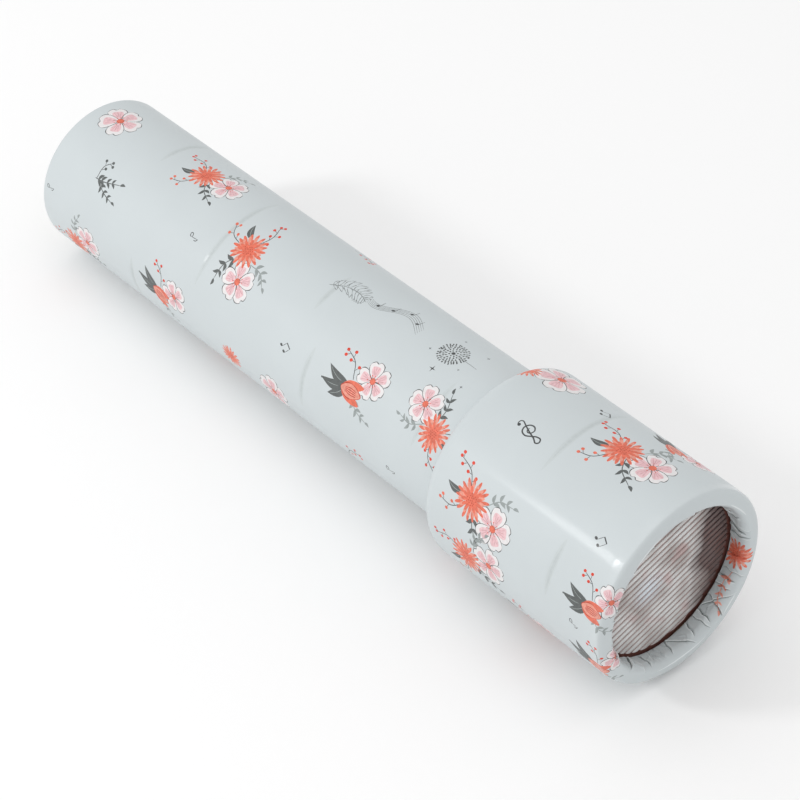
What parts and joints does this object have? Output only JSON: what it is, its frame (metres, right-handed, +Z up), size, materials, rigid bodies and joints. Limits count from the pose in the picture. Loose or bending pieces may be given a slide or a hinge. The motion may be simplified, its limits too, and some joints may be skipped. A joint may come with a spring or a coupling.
{
  "type": "kaleidoscope",
  "caption": "Card kaleidoscope: long paper-covered tube with a peephole and a mirror prism inside, and a turning cap that holds loose beads behind a ribbed window.",
  "frame": {"origin": "under the middle of the object's length, level with the lowest line of the cap", "axes": "+X along the tube from the eye end to the front window, +Z up as the object lies on its side"},
  "size_m": [0.211, 0.0498, 0.0498],
  "materials": {
    "printed_paper": "satin printed pale blue-grey paper",
    "card": "raw grey-brown card",
    "white_card": "white-lined card, matt",
    "dark_card": "dark brown card, matt",
    "clear_plastic": "clear polished sheet",
    "frosted_plastic": "translucent, finely ribbed",
    "mirror_film": "bright mirror face on a rigid strip",
    "packing": "soft grey board",
    "paper_tape": "buff paper tape",
    "bead_white": "gloss",
    "bead_sky": "translucent gloss",
    "bead_pink": "translucent gloss",
    "bead_blue": "translucent gloss",
    "bead_cream": "gloss",
    "bead_rose": "translucent gloss"
  },
  "bodies": {
    "tube": {"eye_end_disc": "white_card", "eyepiece_washer": "card", "eyepiece_window": "clear_plastic", "mirror_band_front": "paper_tape", "mirror_band_rear": "paper_tape", "mirror_front_washer": "card", "mirror_strip_bottom": "mirror_film", "mirror_strip_left": "mirror_film", "mirror_strip_right": "mirror_film", "packing_wedge_bottom": "packing", "packing_wedge_left": "packing", "packing_wedge_right": "packing", "tube_card_core": "card", "tube_front_collar": "white_card", "tube_front_ring": "card", "tube_front_window": "clear_plastic", "tube_paper_cover": "printed_paper"},
    "cap": {"cap_card_shell": "card", "cap_paper_cover": "printed_paper", "cap_running_sleeve": "white_card", "chamber_back_ring": "card", "chamber_inner_window": "clear_plastic", "chamber_spacer_ring": "dark_card", "ribbed_front_window": "frosted_plastic"},
    "beads": {"bead_ball_01": "bead_white", "bead_ball_02": "bead_rose", "bead_ball_06": "bead_sky", "bead_ball_07": "bead_white", "bead_ball_11": "bead_pink", "bead_ball_16": "bead_blue", "bead_ball_21": "bead_cream", "bead_barrel_04": "bead_blue", "bead_barrel_09": "bead_cream", "bead_barrel_14": "bead_rose", "bead_barrel_18": "bead_sky", "bead_barrel_19": "bead_white", "bead_barrel_23": "bead_pink", "bead_gem_05": "bead_pink", "bead_gem_10": "bead_blue", "bead_gem_15": "bead_cream", "bead_gem_20": "bead_rose", "bead_gem_24": "bead_sky", "bead_star_03": "bead_cream", "bead_star_08": "bead_rose", "bead_star_12": "bead_sky", "bead_star_13": "bead_white", "bead_star_17": "bead_pink", "bead_star_22": "bead_blue"}
  },
  "joints": [
    {"name": "cap_turn", "type": "hinge", "parent": "tube", "child": "cap", "pos_m": [0.0763, 0, 0.02492], "axis": [1, 0, 0], "continuous": true},
    {"name": "bead_roll", "type": "hinge", "parent": "cap", "child": "beads", "pos_m": [0.09495, 0, 0.02492], "axis": [1, 0, 0], "continuous": true}
  ]
}
